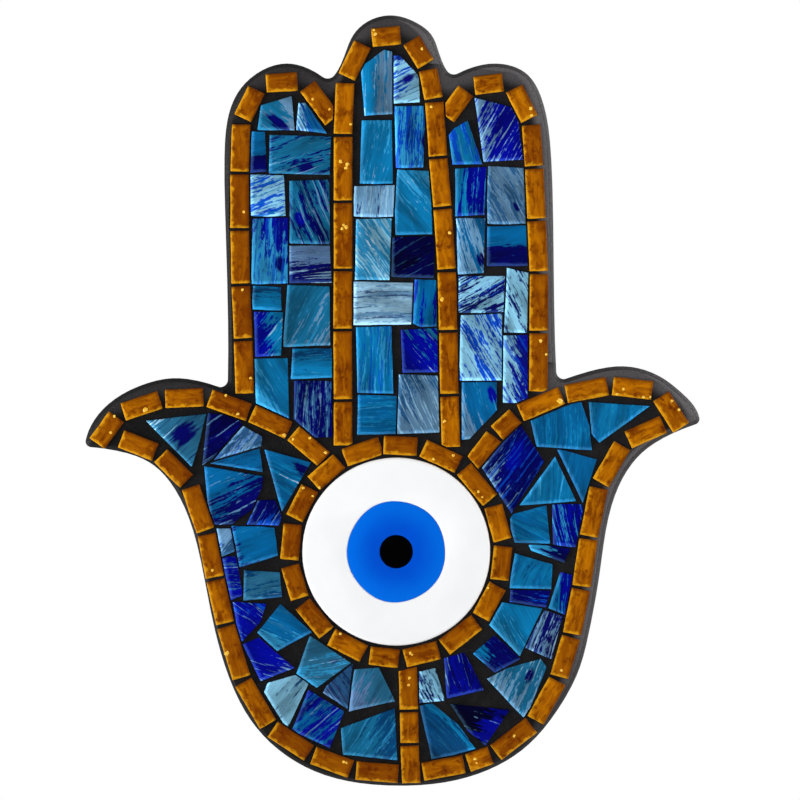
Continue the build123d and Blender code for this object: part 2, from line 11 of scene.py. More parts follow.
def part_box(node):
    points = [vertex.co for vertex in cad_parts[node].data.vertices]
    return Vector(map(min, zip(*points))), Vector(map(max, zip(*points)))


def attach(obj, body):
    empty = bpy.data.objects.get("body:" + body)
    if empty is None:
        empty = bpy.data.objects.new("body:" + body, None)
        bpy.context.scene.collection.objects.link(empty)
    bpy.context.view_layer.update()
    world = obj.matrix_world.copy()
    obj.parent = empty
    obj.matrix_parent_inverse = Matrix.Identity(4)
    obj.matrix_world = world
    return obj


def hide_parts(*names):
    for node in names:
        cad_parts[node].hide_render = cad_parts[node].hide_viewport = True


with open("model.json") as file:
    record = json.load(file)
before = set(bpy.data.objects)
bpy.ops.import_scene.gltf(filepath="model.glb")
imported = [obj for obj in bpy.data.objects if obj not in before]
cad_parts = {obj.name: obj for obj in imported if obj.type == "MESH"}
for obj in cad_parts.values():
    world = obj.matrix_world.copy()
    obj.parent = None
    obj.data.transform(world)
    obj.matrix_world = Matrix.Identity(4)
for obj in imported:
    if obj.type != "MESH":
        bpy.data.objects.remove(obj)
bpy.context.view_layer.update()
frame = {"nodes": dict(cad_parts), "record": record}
nodes = frame["nodes"]

# Lengths of the shapes in metres
MM = 0.001
MERGE = 0.002 * MM
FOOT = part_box("backing_board")[0].z
HALF_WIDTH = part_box("backing_board")[1].x
TILE_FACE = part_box("gold_eye_ring")[0].y
GROUT_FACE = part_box("grout")[0].y
NIP_LENGTH = 2.4 * MM
NIP_WAVER = 0.1 * MM
NIP_PITCH = 1.9 * MM
TILE_EDGE = 0.28 * MM
EYE_EDGE = 0.35 * MM
SEED_RADIUS = 0.36 * MM

# Counts, angles and shares of the shapes
NIP_CUTS = 3
NIP_SEED = 7
TILE_SEGMENTS = 2
EYE_SEGMENTS = 3
FLAT_ANGLE = math.radians(0.5)
SHARP_ANGLE = math.radians(25)
TILE_SMOOTH = math.radians(40)
ROUND_SMOOTH = math.radians(50)
RIM_NORMALS = (-0.9, -0.3)
SEED_DETAIL = 2
SEED_CUT = 0.25
SEED_RISE = 0.24
SEED_UNEVEN = 0.7
SEED_PITCH = 0.8

# Blue glass, in colours as they look, 0 to 255
TURQUOISE = (6, 106, 156)
SEA = (2, 86, 138)
DEEP_SEA = (2, 62, 108)
SKY = (42, 138, 188)
TEAL = (16, 94, 132)
SLATE_TEAL = (36, 98, 132)
SLATE = (36, 80, 122)
GREY_BLUE = (84, 122, 154)
MIST = (98, 144, 180)
PALE = (142, 184, 210)
ICE = (124, 182, 210)
LAVENDER = (98, 140, 178)
MAUVE = (78, 108, 146)
WHITE = (206, 224, 238)
ROYAL = (2, 64, 176)
COBALT = (1, 6, 134)
NAVY = (1, 3, 88)
MIDNIGHT = (1, 1, 64)
INK = (0, 0, 34)

# Amber strip, with painted light and shade at its edges, and its seeds with their painted glints
AMBER_DEEP = (126, 62, 1)
AMBER = (172, 98, 3)
AMBER_STRAND = (204, 124, 1)
AMBER_BROWN = (112, 48, 1)
AMBER_STAIN = (92, 32, 1)
AMBER_PAINTED_LIGHT = (232, 164, 24)
AMBER_PAINTED_SHADE = (92, 40, 1)
GLINT_DEEP = (244, 178, 20)
GLINT_LIGHT = (255, 216, 84)

# Grout, paint, plate and the eye's glazes, deep and light
GROUT_DARK = (13, 12, 13)
GROUT_LIGHT = (29, 27, 28)
# Painted light: a pale grey cover on the grout where its outline faces the light
GROUT_PAINTED_LIGHT = (98, 95, 97)
GRIT_LIGHT = (68, 64, 64)
GRIT_DARK = (10, 8, 8)
PAINT_DARK = (24, 22, 24)
PAINT_LIGHT = (38, 36, 38)
PAINT_WORN = (64, 60, 60)
NICKEL = (196, 196, 192)
NICKEL_DULL = (158, 156, 150)
EYE_WHITES = ((250, 251, 252), (253, 254, 255))
EYE_BLUES = ((0, 82, 212), (0, 108, 230))
EYE_BLACKS = ((1, 1, 2), (4, 4, 5))

# Sides of a tile as directions on its face, in degrees
RIGHT, UPPER_RIGHT, TOP, UPPER_LEFT = 0, 45, 90, 135
LEFT, LOWER_LEFT, BOTTOM, LOWER_RIGHT = 180, 225, 270, 315
ALL_OVER = None

# Marks on the tiles: places are in mm on the face, and the patterns of two tiles lie a streak step apart
VEIL_SLOPE = 1.7
BLOT_STRETCH = 1.35
NO_BLOT = 0.01
LEAST_SHARE = 0.0001
STREAK_STEP = Vector((37.0, 11.0))

# The way to the light on a tile's face, and how a tile's sides are found: turns in degrees, the depth in mm that
# counts as one side, and the cosine over which two directions do
GLOW_SIDE = Vector((-0.75, -0.66))
SIDE_TURN = 2
STRIP_TURN = 3
SIDE_DEPTH = 0.35
SIDES_ALIKE = 0.7

# An amber tile's tone is partly chance and partly painted shade by its place across the hand, darker to the left, and
# a step of it parts the strands
TONE_CHANCE = 0.6
TONE_SHADE_ACROSS = 0.4
TONE_STEP = 40.0

# How strongly each pattern of the pour works
SWAY_GAIN = 2.0
DRAG_GAIN = 9.0
WISP_GAIN = 5.0
GRAIN_GAIN = 4.0
SPIN_GAIN = 11.0

# Edges of the glass where light is painted as coming out: their unevenness in mm, and what the blue glass gains there
# in painted light
BLUE_RAGGED = 1.4
AMBER_RAGGED = 2.4
PAINTED_LIGHT_GAIN = (0.7, 0.7, 0.7)
PAINTED_LIGHT_TINT = (0.02, 0.05, 0.07)

# Depths of the surfaces' relief
RIPPLE_DEPTH = 0.1 * MM
STRAND_DEPTH = 0.14 * MM
GRIT_DEPTH = 0.25 * MM
BRUSH_DEPTH = 0.06 * MM
GLAZE_DEPTH = 0.04 * MM
PLATE_DEPTH = 0.03 * MM

# Painted light on the grout, a pale cover along its lit outline: it begins at the first distance from the outline, or
# from a valley, and is full at the second
PAINTED_LIGHT_RIGHT = (4.6 * MM, 2.2 * MM)
PAINTED_LIGHT_UPPER = (6.2 * MM, 2.6 * MM)
PAINTED_LIGHT_VALLEY = (6.0 * MM, 2.5 * MM)

# It thickens upwards along the right outline and rightwards along the upper one, and the grout is painted paler by a
# slope across, as lit from the right
PAINTED_LIGHT_HEIGHTS = (FOOT, FOOT + 48 * MM)
PAINTED_LIGHT_ACROSS = (-50 * MM, 60 * MM)
PAINTED_LIGHT_SLOPE = 1.6

# The board's outline is followed in even steps, from just inside its ends
OUTLINE_STEPS = 80
OUTLINE_MARGIN = 0.001

# Valleys of the outline where the painted light reaches in: across from the axis and up from the foot in mm
VALLEYS = ((41.5, 105.3), (14.7, 184.4))

# Stage, light and camera: lamps by place, size and power
FLOOR_DROP = 0.05
FLOOR_RADIUS = 0.5
FLOOR_SIDES = 96
FLOOR_TONES = (0.855, 0.87)
FLOOR_FADE = (0.45 * FLOOR_RADIUS, 0.95 * FLOOR_RADIUS)
WORLD_LIGHT = 0.45
LAMPS = {
    "key_lamp": ((0.6, -0.9, 0.55), 0.6, 3.0),
    "fill_lamp": ((-1.5, -0.375, -0.5), 0.75, 38.0),
    "side_lamp": ((0.9, 0.06, 0.3), 0.5, 12.0),
}
VIEW_WIDTH = 0.2075
VIEW_DISTANCE = 1.5
VIEW_X = 0.002075
VIEW_Z = -0.05687
SENSOR = 36.0


def linear(color):
    """Colour as the shader takes it, from the 0 to 255 values that it shows as."""
    shares = (value / 255 for value in color)
    return tuple(s / 12.92 if s <= 0.04045 else ((s + 0.055) / 1.055) ** 2.4 for s in shares)


def shown(color):
    """Colour with full cover for a shader's socket, from the 0 to 255 values that it shows as."""
    return (*linear(color), 1)


def sheet(ground, veil=None, side=ALL_OVER, share=0.0, thread=WHITE, threads=0.0, lean=0, blot=None, feather=1.0):
    """How one tile's glass was poured.

    A ground colour carries a veil from one side over a share of the face, with an edge that is drawn out into
    feathers, and fine threads over another share. Both run along the lean, in degrees. A feather below 1 keeps
    the veil's edge short. A blot is a colour, its place from the tile's middle and its size in mm.
    """
    return {
        "ground": ground, "veil": veil or ground, "side": side, "share": share, "thread": thread,
        "threads": threads, "lean": lean, "blot": blot, "feather": feather,
    }


# The sheets of glass in each node, from its topmost tile down
SHEETS = {
    "two_tone_left_finger": (
        sheet(GREY_BLUE, TEAL, LEFT, 0.5, PALE, 0.02, -40, (NAVY, 0.6, -2.6, 2.5)),
        sheet(SEA, NAVY, BOTTOM, 0.42, INK, 0.06, 4, feather=0.25),
        sheet(SKY, COBALT, UPPER_RIGHT, 0.42, ROYAL, 0.3, 86, (NAVY, 2.6, -3.4, 1.6)),
    ),
    "ice_left_finger": (
        sheet(SEA, ICE, LEFT, 0.28, COBALT, 0.3, -60),
        sheet(ICE, ROYAL, ALL_OVER, 0.38, TURQUOISE, 0.24, 20),
    ),
    "teal_left_finger": (
        sheet(TEAL, NAVY, ALL_OVER, 0.26, MIST, 0.06, 18, (NAVY, 1.6, -3.4, 1.6)),
        sheet(TEAL, GREY_BLUE, LOWER_RIGHT, 0.2, SKY, 0.06, 60),
        sheet(TURQUOISE, DEEP_SEA, TOP, 0.3, SKY, 0.05, 4),
    ),
    "midnight_left_finger": (
        sheet(TEAL, NAVY, ALL_OVER, 0.38, MIST, 0.14, -68, (COBALT, -2.6, -2.0, 1.8)),
        sheet(NAVY, SLATE, ALL_OVER, 0.26, MIST, 0.12, 86),
    ),
    "mist_left_finger": (
        sheet(MAUVE, NAVY, BOTTOM, 0.48, PALE, 0.16, 4),
    ),
    "turquoise_left_finger": (
        sheet(TURQUOISE, DEEP_SEA, TOP, 0.35, SKY, 0.05, 0),
        sheet(TURQUOISE, SKY, LOWER_LEFT, 0.34, ROYAL, 0.08, -60),
    ),
    "cobalt_left_finger": (
        sheet(COBALT, TURQUOISE, RIGHT, 0.46, PALE, 0.07, 50),
    ),
    "turquoise_middle_finger": (
        sheet(TURQUOISE, GREY_BLUE, RIGHT, 0.4, PALE, 0.06, 88),
        sheet(TURQUOISE, SKY, ALL_OVER, 0.22, PALE, 0.03, 80),
        sheet(TURQUOISE, SKY, UPPER_RIGHT, 0.24, PALE, 0.03, -50),
        sheet(SEA, TURQUOISE, ALL_OVER, 0.3, SKY, 0.05, 3),
    ),
    "ice_middle_finger": (
        sheet(ICE, ROYAL, UPPER_LEFT, 0.3, NAVY, 0.26, 28, (COBALT, 0.4, 0.2, 1.5)),
        sheet(SKY, ICE, ALL_OVER, 0.42, WHITE, 0.05, -55),
    ),
    "cobalt_middle_finger": (
        sheet(ROYAL, SKY, ALL_OVER, 0.48, NAVY, 0.12, 86, (NAVY, 3.8, -1.0, 1.6)),
        sheet(SEA, COBALT, ALL_OVER, 0.3, SKY, 0.06, 84),
        sheet(COBALT, TEAL, UPPER_RIGHT, 0.18, PALE, 0.03, -50),
        sheet(TURQUOISE, SKY, ALL_OVER, 0.3, ROYAL, 0.3, 88),
    ),
    "mist_middle_finger": (
        sheet(MIST, NAVY, ALL_OVER, 0.16, PALE, 0.24, 86),
        sheet(PALE, MIST, ALL_OVER, 0.36, NAVY, 0.2, 3),
        sheet(GREY_BLUE, SLATE, UPPER_LEFT, 0.36, PALE, 0.22, -65),
    ),
    "midnight_middle_finger": (
        sheet(MIDNIGHT, INK, ALL_OVER, 0.3, SLATE, 0.06, 30),
    ),
    "cobalt_right_finger": (
        sheet(COBALT, GREY_BLUE, LEFT, 0.26, PALE, 0.1, 60),
        sheet(COBALT, TURQUOISE, LEFT, 0.34, SKY, 0.1, 86),
    ),
    "two_tone_right_finger": (
        sheet(TURQUOISE, ROYAL, ALL_OVER, 0.4, SKY, 0.1, -75),
        sheet(SEA, NAVY, BOTTOM, 0.56, SKY, 0.03, 8, feather=0.25),
    ),
    "mist_right_finger": (
        sheet(GREY_BLUE, SLATE, ALL_OVER, 0.45, PALE, 0.08, -60, (NAVY, 2.6, -3.0, 1.1)),
        sheet(MIST, SEA, ALL_OVER, 0.45, PALE, 0.1, -75, (NAVY, 2.4, -3.6, 1.4)),
    ),
    "ice_right_finger": (
        sheet(ICE, NAVY, ALL_OVER, 0.54, ROYAL, 0.2, 28),
        sheet(ICE, NAVY, ALL_OVER, 0.27, SLATE, 0.14, -65),
        sheet(ICE, ROYAL, ALL_OVER, 0.38, COBALT, 0.1, -60),
        sheet(ICE, COBALT, RIGHT, 0.58, ROYAL, 0.28, -60),
    ),
    "turquoise_right_finger": (
        sheet(SEA, GREY_BLUE, LOWER_LEFT, 0.26, SKY, 0.06, -70, (COBALT, 3.4, 4.2, 1.7)),
    ),
    "two_tone_left_palm": (
        sheet(SLATE_TEAL, PALE, UPPER_LEFT, 0.12, NAVY, 0.12, 40, (NAVY, 2.0, 1.8, 3.0)),
        sheet(SEA, NAVY, LOWER_RIGHT, 0.54, MIST, 0.07, 25),
        sheet(SEA, NAVY, LOWER_LEFT, 0.22, SKY, 0.04, 20),
        sheet(SEA, COBALT, ALL_OVER, 0.58, MIST, 0.06, 40),
    ),
    "midnight_left_palm": (
        sheet(MIDNIGHT, NAVY, ALL_OVER, 0.4, MIST, 0.06, 35),
        sheet(NAVY, ROYAL, BOTTOM, 0.26, MIST, 0.08, 60),
    ),
    "ice_left_palm": (
        sheet(LAVENDER, SLATE, ALL_OVER, 0.5, ROYAL, 0.14, 45),
        sheet(LAVENDER, SLATE, LOWER_RIGHT, 0.4, ROYAL, 0.1, 50),
        sheet(ICE, SLATE, ALL_OVER, 0.2, NAVY, 0.05, 50),
    ),
    "turquoise_left_palm": (
        sheet(SEA, DEEP_SEA, ALL_OVER, 0.45, SKY, 0.03, 10),
        sheet(SEA, TURQUOISE, ALL_OVER, 0.3, WHITE, 0.03, -25, (NAVY, 3.4, 2.8, 1.8)),
        sheet(SEA, SKY, LOWER_LEFT, 0.2, SLATE_TEAL, 0.1, -20),
        sheet(SLATE_TEAL, SKY, BOTTOM, 0.32, PALE, 0.04, 10, (SLATE, 2.8, 0.2, 1.0)),
        sheet(TEAL, DEEP_SEA, RIGHT, 0.3, SKY, 0.1, 55),
    ),
    "cobalt_left_palm": (
        sheet(COBALT, SLATE, ALL_OVER, 0.2, MIST, 0.1, 3),
        sheet(COBALT, ROYAL, ALL_OVER, 0.25, MIST, 0.07, -35),
        sheet(COBALT, GREY_BLUE, LOWER_RIGHT, 0.12, MIST, 0.06, -20),
    ),
    "mist_left_palm": (
        sheet(SLATE_TEAL, DEEP_SEA, ALL_OVER, 0.4, MIST, 0.03, 10),
        sheet(SLATE, MAUVE, LOWER_LEFT, 0.16, MIDNIGHT, 0.5, -50),
        sheet(SLATE_TEAL, MAUVE, LOWER_LEFT, 0.3, NAVY, 0.14, 60),
    ),
    "turquoise_right_palm": (
        sheet(TURQUOISE, SEA, ALL_OVER, 0.3, SKY, 0.05, 80),
        sheet(SEA, TURQUOISE, ALL_OVER, 0.3, SKY, 0.04, 88),
        sheet(SEA, SKY, LEFT, 0.06, SKY, 0.02, 80),
        sheet(TURQUOISE, SKY, ALL_OVER, 0.12, SEA, 0.2, 86),
        sheet(SEA, TURQUOISE, ALL_OVER, 0.3, NAVY, 0.06, -30),
        sheet(TURQUOISE, SEA, ALL_OVER, 0.3, NAVY, 0.03, 60),
        sheet(TURQUOISE, SKY, LOWER_LEFT, 0.28, PALE, 0.02, -60),
        sheet(DEEP_SEA, TURQUOISE, UPPER_RIGHT, 0.24, TEAL, 0.08, -45),
    ),
    "midnight_right_palm": (
        sheet(NAVY, GREY_BLUE, LEFT, 0.14, ROYAL, 0.2, 55, (COBALT, 1.0, 3.6, 3.2)),
        sheet(NAVY, ROYAL, ALL_OVER, 0.22, SLATE, 0.06, -10),
        sheet(INK, COBALT, LOWER_RIGHT, 0.42, MIST, 0.06, -20),
    ),
    "cobalt_right_palm": (
        sheet(COBALT, NAVY, ALL_OVER, 0.5, SKY, 0.2, -78),
        sheet(NAVY, SKY, LEFT, 0.6, PALE, 0.1, -15),
        sheet(COBALT, TURQUOISE, LEFT, 0.42, SKY, 0.04, 86),
        sheet(NAVY, TURQUOISE, LEFT, 0.18, ROYAL, 0.1, -40),
        sheet(COBALT, NAVY, ALL_OVER, 0.4, MIST, 0.04, -75),
    ),
    "ice_right_palm": (
        sheet(NAVY, GREY_BLUE, ALL_OVER, 0.36, PALE, 0.1, 70),
        sheet(ICE, NAVY, ALL_OVER, 0.34, SLATE, 0.2, -60),
    ),
    "mist_right_palm": (
        sheet(MIST, TEAL, UPPER_RIGHT, 0.54, PALE, 0.12, 65, (NAVY, 3.0, 3.2, 1.4)),
    ),
}

# Amber tiles whose tone isn't left to chance, by their place from the top in a node: 0 is light and 1 is dark
TONES = {("gold_left_finger", 4): 1.0, ("gold_left_finger", 6): 0.95, ("gold_right_divider", 6): 0.0}

# Seeds in the amber strip that catch the light, painted bright yellow as glints: across from the axis and up from the
# foot in mm, and size
SEEDS = (
    (-13.3, 162, 1.3), (-11.6, 161.2, 1.4), (-12, 160.3, 1.2), (-12, 145, 1.4), (-13, 144.6, 1.1), (-12.6, 145.6, 0.9),
    (15, 143.5, 1.2), (13, 126.2, 1.5), (13.6, 94.6, 1.2), (43.5, 99.8, 2.1), (36, 175.8, 1.3), (36.2, 174, 1),
    (10.2, 176.2, 1), (7.8, 191.2, 1), (-4.3, 195, 1.2), (-4.7, 196.1, 0.9), (-20.6, 178.2, 1), (-16.2, 175.6, 0.9),
    (-10.7, 171.7, 1), (-38.4, 148.9, 1), (-38.8, 128.7, 1), (-36.7, 105.8, 1), (38.5, 115.5, 1.3), (40, 112, 0.9),
    (15.9, 85.8, 1), (10.8, 84.8, 1), (-43.1, 101.3, 1), (-40, 96.5, 1.1), (-28, 91, 1.3), (-25.7, 90, 1),
    (-21.3, 90.3, 1), (-17.2, 86.5, 1.1), (-72, 95.9, 1), (-64, 97.6, 1.7), (-73, 91.7, 1), (-46.6, 56, 1),
    (-42.9, 34.5, 1.7), (-12.5, 6.3, 1.1), (-11.8, 6, 0.8), (4.5, 28, 1.1), (4.3, 26.2, 1), (4.7, 34.5, 1),
    (5.2, 34.1, 0.8), (24.9, 51.4, 1), (44, 30, 1), (31.7, 13, 1), (21.5, 7, 1.1), (21.9, 6, 0.8), (60, 103, 1),
    (58.4, 101.7, 1.1), (65.3, 100.9, 1), (67, 100.9, 0.8), (72.6, 99.9, 1), (74.4, 97.6, 1), (22.4, 76.4, 1),
    (23.4, 75, 0.8), (-13.4, 39.5, 1), (-18.8, 77.4, 1), (-23, 77.3, 1), (-20.6, 75.2, 0.8),
)


def take_up(*pieces):
    """Select these pieces and nothing else, the first one active."""
    bpy.ops.object.select_all(action="DESELECT")
    for piece in pieces:
        piece.select_set(True)
    bpy.context.view_layer.objects.active = pieces[0]


def copy_node(node, name):
    """A new piece from a copy of a CAD node's mesh, with its doubled corners merged."""
    piece = bpy.data.objects.new(name, nodes[node].data.copy())
    bpy.context.collection.objects.link(piece)
    piece.data.materials.clear()
    take_up(piece)
    bpy.ops.mesh.customdata_custom_splitnormals_clear()
    bpy.ops.object.mode_set(mode="EDIT")
    bpy.ops.mesh.select_all(action="SELECT")
    bpy.ops.mesh.remove_doubles(threshold=MERGE)
    bpy.ops.mesh.dissolve_limited(angle_limit=FLAT_ANGLE)
    bpy.ops.object.mode_set(mode="OBJECT")
    return piece


def round_edges(piece, width, segments):
    """Round the sharp edges a little and shade the piece smooth between them."""
    take_up(piece)
    bevel = piece.modifiers.new("edge", "BEVEL")
    bevel.width = width
    bevel.segments = segments
    bevel.limit_method = "ANGLE"
    bevel.angle_limit = SHARP_ANGLE
    bpy.ops.object.modifier_apply(modifier=bevel.name)
    bpy.ops.object.shade_smooth_by_angle(angle=TILE_SMOOTH)


def waver_sides(piece):
    """Give the nipped sides of the tiles the slight waver of a cut made by hand."""
    take_up(piece)
    bpy.ops.object.mode_set(mode="EDIT")
    bpy.ops.mesh.select_mode(type="EDGE")
    bpy.ops.mesh.select_all(action="DESELECT")
    bpy.ops.object.mode_set(mode="OBJECT")
    mesh = piece.data
    for edge in mesh.edges:
        a, b = (mesh.vertices[v].co for v in edge.vertices)
        edge.select = (b - a).length > NIP_LENGTH
    bpy.ops.object.mode_set(mode="EDIT")
    bpy.ops.mesh.subdivide(number_cuts=NIP_CUTS)
    bpy.ops.object.mode_set(mode="OBJECT")
    # Without a seed of its own the noise starts from the clock
    noise.seed_set(NIP_SEED)
    for corner in mesh.vertices:
        place = Vector((corner.co.x, 0, corner.co.z)) / NIP_PITCH
        drift = noise.noise_vector(place) * NIP_WAVER
        corner.co += Vector((drift.x, 0, drift.z))


def box_middle(tile):
    """Middle of a tile's extent."""
    places = [corner.co for corner in tile.data.vertices]
    low = Vector(min(p[axis] for p in places) for axis in range(3))
    high = Vector(max(p[axis] for p in places) for axis in range(3))
    return (low + high) / 2


def split_tiles(piece):
    """Take a node's tiles apart, from its topmost down."""
    take_up(piece)
    bpy.ops.object.mode_set(mode="EDIT")
    bpy.ops.mesh.select_all(action="SELECT")
    bpy.ops.mesh.separate(type="LOOSE")
    bpy.ops.object.mode_set(mode="OBJECT")
    tiles = list(bpy.context.selected_objects)
    return sorted(tiles, key=lambda tile: -box_middle(tile).z)


def tint(mesh, name, color, amount=1.0):
    """Keep one colour for a whole tile, with an amount in its alpha."""
    layer = mesh.attributes.new(name, "FLOAT_COLOR", "POINT")
    for corner in layer.data:
        corner.color = (*linear(color), amount)


def lift(share):
    """How far a pattern is raised for it to cover this share of a face."""
    return statistics.NormalDist().inv_cdf(min(max(share, LEAST_SHARE), 1 - LEAST_SHARE))


def lit_sides(places):
    """Outward directions of the two sides of a tile that face the light most, and how far out each lies."""
    found = []
    for step in range(360 // SIDE_TURN):
        turn = math.radians(SIDE_TURN * step)
        out = Vector((math.cos(turn), math.sin(turn)))
        along = Vector((-out.y, out.x))
        extent = max(place.dot(out) for place in places)
        run = [place.dot(along) for place in places if place.dot(out) > extent - SIDE_DEPTH]
        found.append(((max(run) - min(run)) * max(out.dot(GLOW_SIDE), 0), out, extent))
    found.sort(key=lambda side: -side[0])
    first = found[0]
    second = next((side for side in found if side[0] > 0 and side[1].dot(first[1]) < SIDES_ALIKE), first)
    return first[1:], second[1:]


def pour(tile, glass, number):
    """Mark a tile with its sheet's colours, the run of its streaks, its veil and blot, and its lit sides for painted
    light.
    """
    mesh = tile.data
    centre = box_middle(tile)
    for part in ("ground", "veil", "thread"):
        tint(mesh, part, glass[part])
    blot = glass["blot"] or (glass["ground"], 0, 0, 0)
    tint(mesh, "blot", blot[0], 1.0 if glass["blot"] else 0.0)
    turn = Matrix.Rotation(-math.radians(glass["lean"]), 2)
    flat = [Vector((c.co.x - centre.x, c.co.z - centre.z)) / MM for c in mesh.vertices]
    slope = 0.0 if glass["side"] is None else VEIL_SLOPE / glass["feather"]
    side = math.radians(glass["side"] or 0)
    toward = Vector((math.cos(side), math.sin(side)))
    reach = max(place.dot(toward) for place in flat)
    level = lift(glass["share"]) * math.hypot(1, slope / math.sqrt(3))
    spinning = lift(glass["threads"])
    fall = mesh.attributes.new("fall", "FLOAT", "POINT")
    spun = mesh.attributes.new("spun", "FLOAT", "POINT")
    for mark, fine, place in zip(fall.data, spun.data, flat):
        mark.value = level + slope * place.dot(toward) / reach
        fine.value = spinning
    streak = mesh.uv_layers.new(name="streak")
    spot = mesh.uv_layers.new(name="blot_place")
    near = mesh.uv_layers.new(name="near_edges")
    sides = lit_sides(flat)
    for loop in mesh.loops:
        place = flat[loop.vertex_index]
        streak.data[loop.index].uv = turn @ place + number * STREAK_STEP
        drop = turn @ (place - Vector(blot[1:3])) / (blot[3] or NO_BLOT)
        spot.data[loop.index].uv = (drop.x / BLOT_STRETCH, drop.y * BLOT_STRETCH)
        near.data[loop.index].uv = [extent - place.dot(out) for out, extent in sides]


def lie(places):
    """Middle, directions and half sizes of the smallest rectangle round a strip's corners."""
    best = None
    for step in range(180 // STRIP_TURN):
        turn = math.radians(STRIP_TURN * step)
        along = Vector((math.cos(turn), math.sin(turn)))
        across = Vector((-along.y, along.x))
        runs = [[place.dot(way) for place in places] for way in (along, across)]
        half = [(max(run) - min(run)) / 2 for run in runs]
        if half[0] >= half[1] and (best is None or half[0] * half[1] < best[0]):
            middle = along * (min(runs[0]) + half[0]) + across * (min(runs[1]) + half[1])
            best = (half[0] * half[1], middle, along, across, half)
    return best[1:]


def gild(tile, number, tone=None):
    """Mark an amber tile's tone, partly painted shade, and how far each place lies from its two near and its two far
    edges in mm.
    """
    mesh = tile.data
    flat = [Vector((corner.co.x, corner.co.z)) for corner in mesh.vertices]
    middle, along, across, half = lie(flat)
    ways = [way if way.dot(GLOW_SIDE) < 0 else -way for way in (along, across)]
    if tone is None:
        # Painted shade: tiles further left are darker, as lit less from the right
        tone = TONE_CHANCE * random.Random(number).random() + TONE_SHADE_ACROSS * (0.5 - middle.x / HALF_WIDTH / 2)
    shade = mesh.attributes.new("tone", "FLOAT", "POINT")
    for mark in shade.data:
        mark.value = tone
    near = mesh.uv_layers.new(name="near_edges")
    far = mesh.uv_layers.new(name="far_edges")
    for loop in mesh.loops:
        place = flat[loop.vertex_index] - middle
        near.data[loop.index].uv = [(place.dot(way) + size) / MM for way, size in zip(ways, half)]
        far.data[loop.index].uv = [(size - place.dot(way)) / MM for way, size in zip(ways, half)]


def put(tree, kind, inputs=(), **settings):
    """Add a shader node, with its settings, plain values and wires."""
    made = tree.nodes.new(kind)
    for name, value in settings.items():
        setattr(made, name, value)
    for socket, value in dict(inputs).items():
        if isinstance(value, bpy.types.NodeSocket):
            tree.links.new(value, made.inputs[socket])
        else:
            made.inputs[socket].default_value = value
    return made


def start_finish(name):
    """A new material with a bare shader wired to its output."""
    finish = bpy.data.materials.new(name)
    finish.use_nodes = True
    finish.node_tree.nodes.clear()
    shader = put(finish.node_tree, "ShaderNodeBsdfPrincipled")
    put(finish.node_tree, "ShaderNodeOutputMaterial", {"Surface": shader.outputs["BSDF"]})
    return finish, finish.node_tree, shader


def object_place(tree):
    """Each place on a piece, in metres."""
    return put(tree, "ShaderNodeTexCoord").outputs["Object"]


def uv_place(tree, name):
    """Each place as one of a piece's maps holds it."""
    return put(tree, "ShaderNodeUVMap", uv_map=name).outputs["UV"]


def parted(tree, place):
    """A place's three parts, by name."""
    return put(tree, "ShaderNodeSeparateXYZ", {0: place}).outputs


def math_node(tree, operation, *values):
    """The result of one sum."""
    return put(tree, "ShaderNodeMath", dict(enumerate(values)), operation=operation).outputs[0]


def centred(tree, pattern, gain):
    """A pattern from 0 to 1 made stronger by a gain, with its middle moved to 0."""
    return math_node(tree, "MULTIPLY_ADD", pattern, gain, -gain / 2)


def cloud(tree, place, scale, detail=2.0, roughness=0.5, distortion=0.0):
    """Soft noise from 0 to 1."""
    inputs = {"Vector": place, "Scale": scale, "Detail": detail, "Roughness": roughness, "Distortion": distortion}
    return put(tree, "ShaderNodeTexNoise", inputs).outputs["Fac"]


def drawn_cloud(tree, place, scales, detail=3.0, roughness=0.6, distortion=0.0):
    """The same noise, with a scale for each direction."""
    stretched = put(tree, "ShaderNodeMapping", {"Vector": place, "Scale": scales}).outputs["Vector"]
    return cloud(tree, stretched, 1.0, detail, roughness, distortion)


def mix(tree, share, below, above, blend="MIX"):
    """One colour laid over another."""
    made = put(tree, "ShaderNodeMix", data_type="RGBA", blend_type=blend)
    for socket, value in ((made.inputs[0], share), (made.inputs[6], below), (made.inputs[7], above)):
        if isinstance(value, bpy.types.NodeSocket):
            tree.links.new(value, socket)
        else:
            socket.default_value = value
    return made.outputs[2]


def band(tree, value, low, high, to_low=0.0, to_high=1.0):
    """A value eased from one range to another."""
    inputs = {"Value": value, "From Min": low, "From Max": high, "To Min": to_low, "To Max": to_high}
    return put(tree, "ShaderNodeMapRange", inputs, interpolation_type="SMOOTHSTEP").outputs["Result"]


def distance(tree, place, other):
    """How far each place lies from another."""
    return put(tree, "ShaderNodeVectorMath", {0: place, 1: other}, operation="DISTANCE").outputs["Value"]


def bump(tree, shader, height, depth):
    """Raise a shader's surface by a height pattern, to a depth in metres."""
    made = put(tree, "ShaderNodeBump", {"Height": height, "Strength": 1.0, "Distance": depth})
    tree.links.new(made.outputs["Normal"], shader.inputs["Normal"])


def ragged_edge(tree, near, pattern, swing):
    """Distance from the nearer of a tile's two near edges in mm, made uneven by a pattern."""
    edge = math_node(tree, "MINIMUM", near["X"], near["Y"])
    return math_node(tree, "MULTIPLY_ADD", pattern, swing, math_node(tree, "SUBTRACT", edge, swing / 2))


